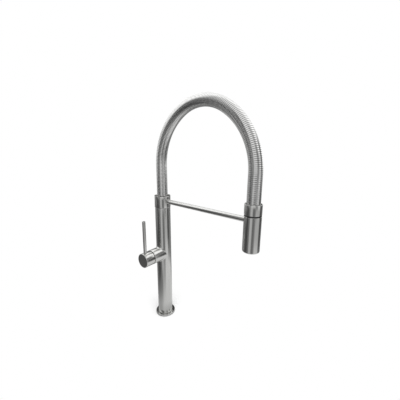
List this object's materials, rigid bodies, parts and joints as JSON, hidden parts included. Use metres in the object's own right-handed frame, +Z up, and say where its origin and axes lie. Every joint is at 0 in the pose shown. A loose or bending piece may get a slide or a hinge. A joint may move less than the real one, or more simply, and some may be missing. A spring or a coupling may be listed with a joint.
{
  "type": "kitchen faucet",
  "caption": "Slim column kitchen mixer faucet with a side lever, an arched ribbed hose and a pull-down spray head held on a swivelling docking arm.",
  "frame": {"origin": "centre of the flange's underside, on the worktop, at the mouth of the fixing stud's hole", "axes": "+Z up along the column; the docking arm and spray head point along -Y at rest; the side lever's housing points along -X"},
  "size_m": [0.0868, 0.2666, 0.5083],
  "materials": {
    "brushed_stainless": "brushed stainless steel",
    "ribbed_steel_hose": "brushed ribbed steel jacket",
    "plain_steel": "plain stainless steel",
    "brass": "machined brass",
    "magnet": "nickel-plated magnet",
    "black_plastic": "matt black moulded plastic",
    "grey_plastic": "grey moulded plastic",
    "white_plastic": "white moulded acetal",
    "ceramic": "lapped white ceramic",
    "black_rubber": "black rubber",
    "grey_silicone": "dark grey silicone"
  },
  "bodies": {
    "column": {"base_flange": "brushed_stainless", "base_gasket": "black_rubber", "foot_bush": "brass", "column_tube": "brushed_stainless", "valve_housing": "brushed_stainless", "valve_body": "brass", "cold_pipe": "brass", "hot_pipe": "brass", "outlet_pipe": "brass", "cartridge_base": "white_plastic", "cartridge_seal": "black_rubber", "fixed_disc": "ceramic", "cartridge_case": "white_plastic", "cartridge_nut": "brass", "column_neck": "brass", "neck_o_rings": "black_rubber", "thrust_washer": "white_plastic", "neck_clip": "plain_steel"},
    "spout": {"swivel_ring": "brushed_stainless", "lower_bush": "white_plastic", "upper_bush": "white_plastic", "hose_union": "brass", "lower_collar": "brushed_stainless", "hose_jacket": "ribbed_steel_hose", "inner_hose": "black_rubber", "lower_crimp": "plain_steel", "docking_arm": "brushed_stainless", "dock_magnet": "magnet"},
    "hose_end": {"head_sleeve": "brushed_stainless", "upper_collar": "brushed_stainless", "swivel_nipple": "brass", "upper_crimp": "plain_steel", "black_ring": "black_plastic", "spigot_o_ring": "black_rubber", "spigot_clip": "plain_steel"},
    "spray_head": {"head_shell": "brushed_stainless", "head_core": "grey_plastic", "retaining_nut": "grey_plastic", "strike_band": "plain_steel", "check_valve_cage": "grey_plastic", "check_spring": "plain_steel", "flow_plate": "grey_plastic", "spray_face": "grey_silicone", "aerator_insert": "grey_plastic"},
    "check_valve": {"check_poppet": "grey_plastic"},
    "mixing_guide": {"turn_guide": "white_plastic", "pivot_pin": "plain_steel"},
    "sliding_disc": {"disc_carrier": "white_plastic", "moving_disc": "ceramic"},
    "handle": {"handle_knob": "brushed_stainless", "lever_rod": "brushed_stainless", "cartridge_stem": "plain_steel", "grub_screw": "plain_steel"}
  },
  "joints": [
    {"name": "spout_swivel", "type": "hinge", "parent": "column", "child": "spout", "pos_m": [0, 0, 0.29], "axis": [0, 0, 1], "continuous": true},
    {"name": "head_pull", "type": "hinge", "parent": "spout", "child": "hose_end", "pos_m": [0, -0.11385, 0.4963], "axis": [-1, 0, 0], "range_deg": [0, 30], "deforming": ["hose_jacket", "inner_hose"]},
    {"name": "head_spin", "type": "hinge", "parent": "hose_end", "child": "spray_head", "pos_m": [0, -0.2277, 0.29], "axis": [0, 0, 1], "continuous": true},
    {"name": "check_valve_travel", "type": "slide", "parent": "spray_head", "child": "check_valve", "axis": [0, 0, -1], "range_m": [0, 0.002], "stiffness_N_per_m": 50, "springref_m": -0.004, "deforming": ["check_spring"]},
    {"name": "temperature_turn", "type": "hinge", "parent": "column", "child": "mixing_guide", "pos_m": [-0.028, 0, 0.1644], "axis": [-1, 0, 0], "range_deg": [-50, 50]},
    {"name": "flow_tilt", "type": "hinge", "parent": "mixing_guide", "child": "handle", "pos_m": [-0.028, 0, 0.1644], "axis": [0, -1, 0], "range_deg": [0, 25]},
    {"name": "disc_slide", "type": "slide", "parent": "mixing_guide", "child": "sliding_disc", "axis": [0, 0, 1], "range_m": [0, 0.0021]}
  ],
  "couplings": [
    {"joint": "disc_slide", "follows": "flow_tilt", "m_per_rad": 0.0046}
  ]
}
